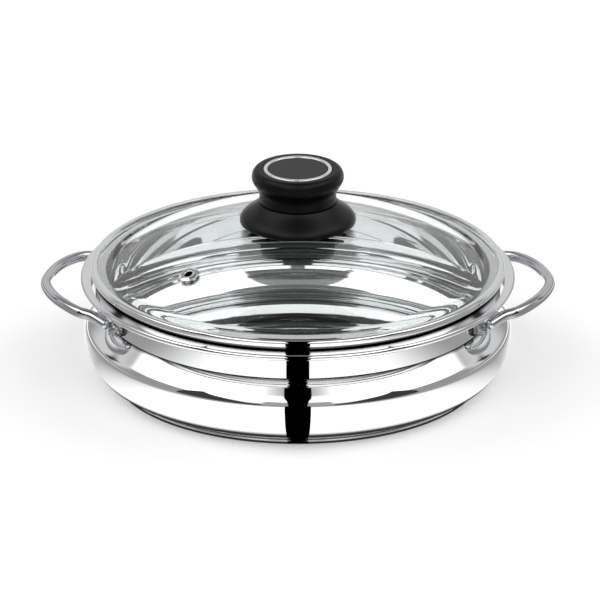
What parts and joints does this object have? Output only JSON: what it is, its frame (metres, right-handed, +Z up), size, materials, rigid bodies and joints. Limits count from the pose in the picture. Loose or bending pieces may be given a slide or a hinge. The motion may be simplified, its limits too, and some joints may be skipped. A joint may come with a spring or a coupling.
{
  "type": "uruli pot",
  "caption": "Shallow bellied steel cooking pot with a flat rolled rim, wire loop handles on the neck and a domed glass lid that lifts off by a black knob.",
  "frame": {"origin": "middle of the base on the surface that the pot stands on", "axes": "+Z up through the knob, +X along the line of the handles, -Y towards the viewer"},
  "size_m": [0.2732, 0.2306, 0.118],
  "materials": {
    "polished_steel": "mirror polished sheet",
    "wire_steel": "polished round wire",
    "weld_steel": "rough, as welded",
    "base_steel": "turned and lightly polished",
    "base_aluminium": "pressed disc",
    "tempered_glass": "clear, smooth",
    "bakelite": "moulded, satin black",
    "dark_plate": "satin dark grey",
    "brass": "turned",
    "silicone": "soft, translucent white"
  },
  "bodies": {
    "pot": {"pot_body": "polished_steel", "base_core": "base_aluminium", "base_cap": "base_steel", "left_handle": "wire_steel", "right_handle": "wire_steel", "left_front_pad": "wire_steel", "left_rear_pad": "wire_steel", "right_front_pad": "wire_steel", "right_rear_pad": "wire_steel", "left_front_weld": "weld_steel", "left_rear_weld": "weld_steel", "right_front_weld": "weld_steel", "right_rear_weld": "weld_steel"},
    "lid": {"lid_glass": "tempered_glass", "lid_band": "polished_steel", "vent_eyelet": "polished_steel", "vent_collar": "polished_steel", "knob_skirt": "bakelite", "knob_grip": "bakelite", "knob_ring": "polished_steel", "knob_disc": "dark_plate", "knob_insert": "brass", "knob_screw": "base_steel", "knob_washer": "base_steel", "upper_gasket": "silicone", "lower_gasket": "silicone"}
  },
  "joints": [
    {"name": "lid_lift", "type": "slide", "parent": "pot", "child": "lid", "axis": [0, 0, 1], "range_m": [0, 0.12]}
  ]
}
